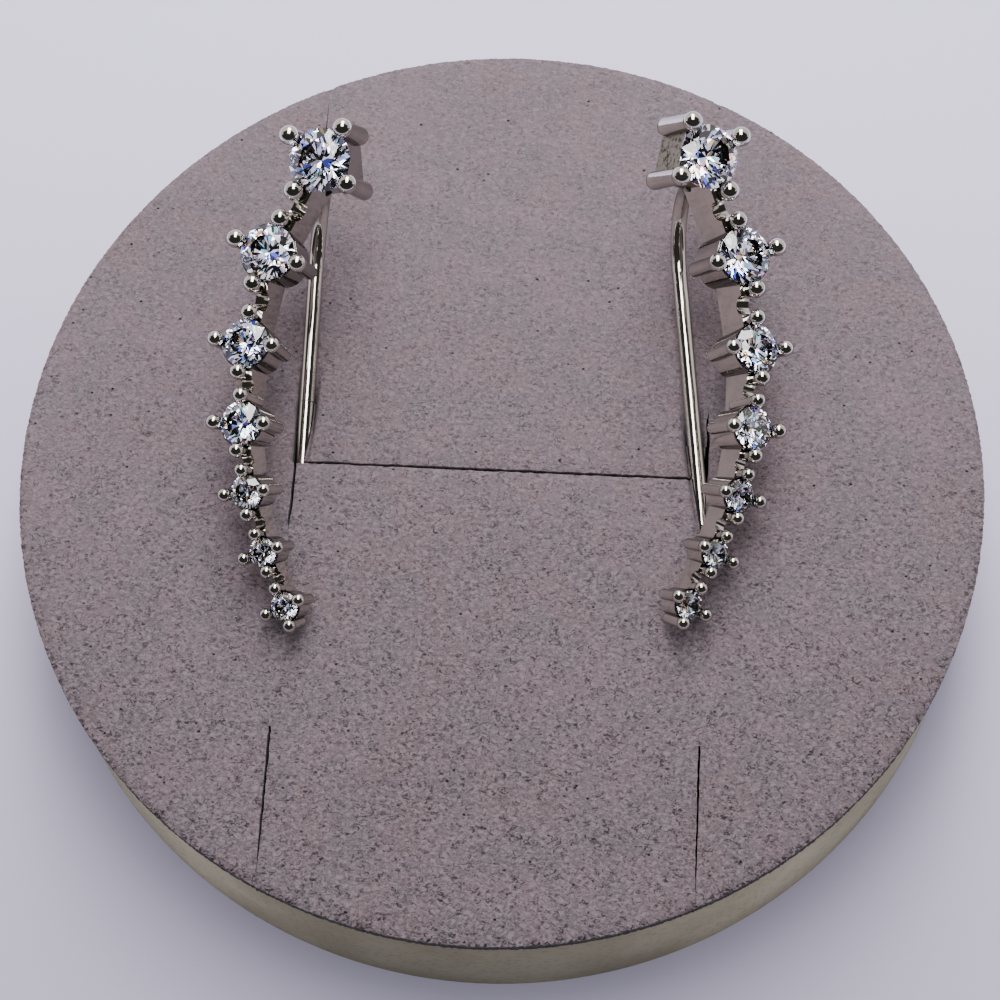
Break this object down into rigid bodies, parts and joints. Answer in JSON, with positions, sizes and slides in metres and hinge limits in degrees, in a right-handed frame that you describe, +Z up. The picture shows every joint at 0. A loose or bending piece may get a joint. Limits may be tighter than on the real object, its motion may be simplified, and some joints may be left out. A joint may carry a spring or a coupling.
{
  "type": "pair of ear climbers on a round display pad",
  "caption": "Pair of silver-coloured ear climbers with a graduated row of round clear stones, held by their wires in the slits of a round mauve-grey velvet pad",
  "frame": {"origin": "middle of the pad's flat underside", "axes": "+Z up out of the pad's face, +X along the cross slit towards the right climber, +Y towards the wide ends of the climbers"},
  "size_m": [0.05, 0.05, 0.02],
  "materials": {
    "foam": "open-celled foam, unpainted",
    "velvet": "flocked velvet, short pile",
    "silver": "polished, silver-coloured",
    "stone": "polished facets"
  },
  "bodies": {
    "root": {"pad_foam": "foam", "pad_velvet": "velvet", "climber_left": "silver", "climber_right": "silver", "stone_left_1": "stone", "stone_left_2": "stone", "stone_left_3": "stone", "stone_left_4": "stone", "stone_left_5": "stone", "stone_left_6": "stone", "stone_left_7": "stone", "stone_right_1": "stone", "stone_right_2": "stone", "stone_right_3": "stone", "stone_right_4": "stone", "stone_right_5": "stone", "stone_right_6": "stone", "stone_right_7": "stone"}
  },
  "joints": []
}
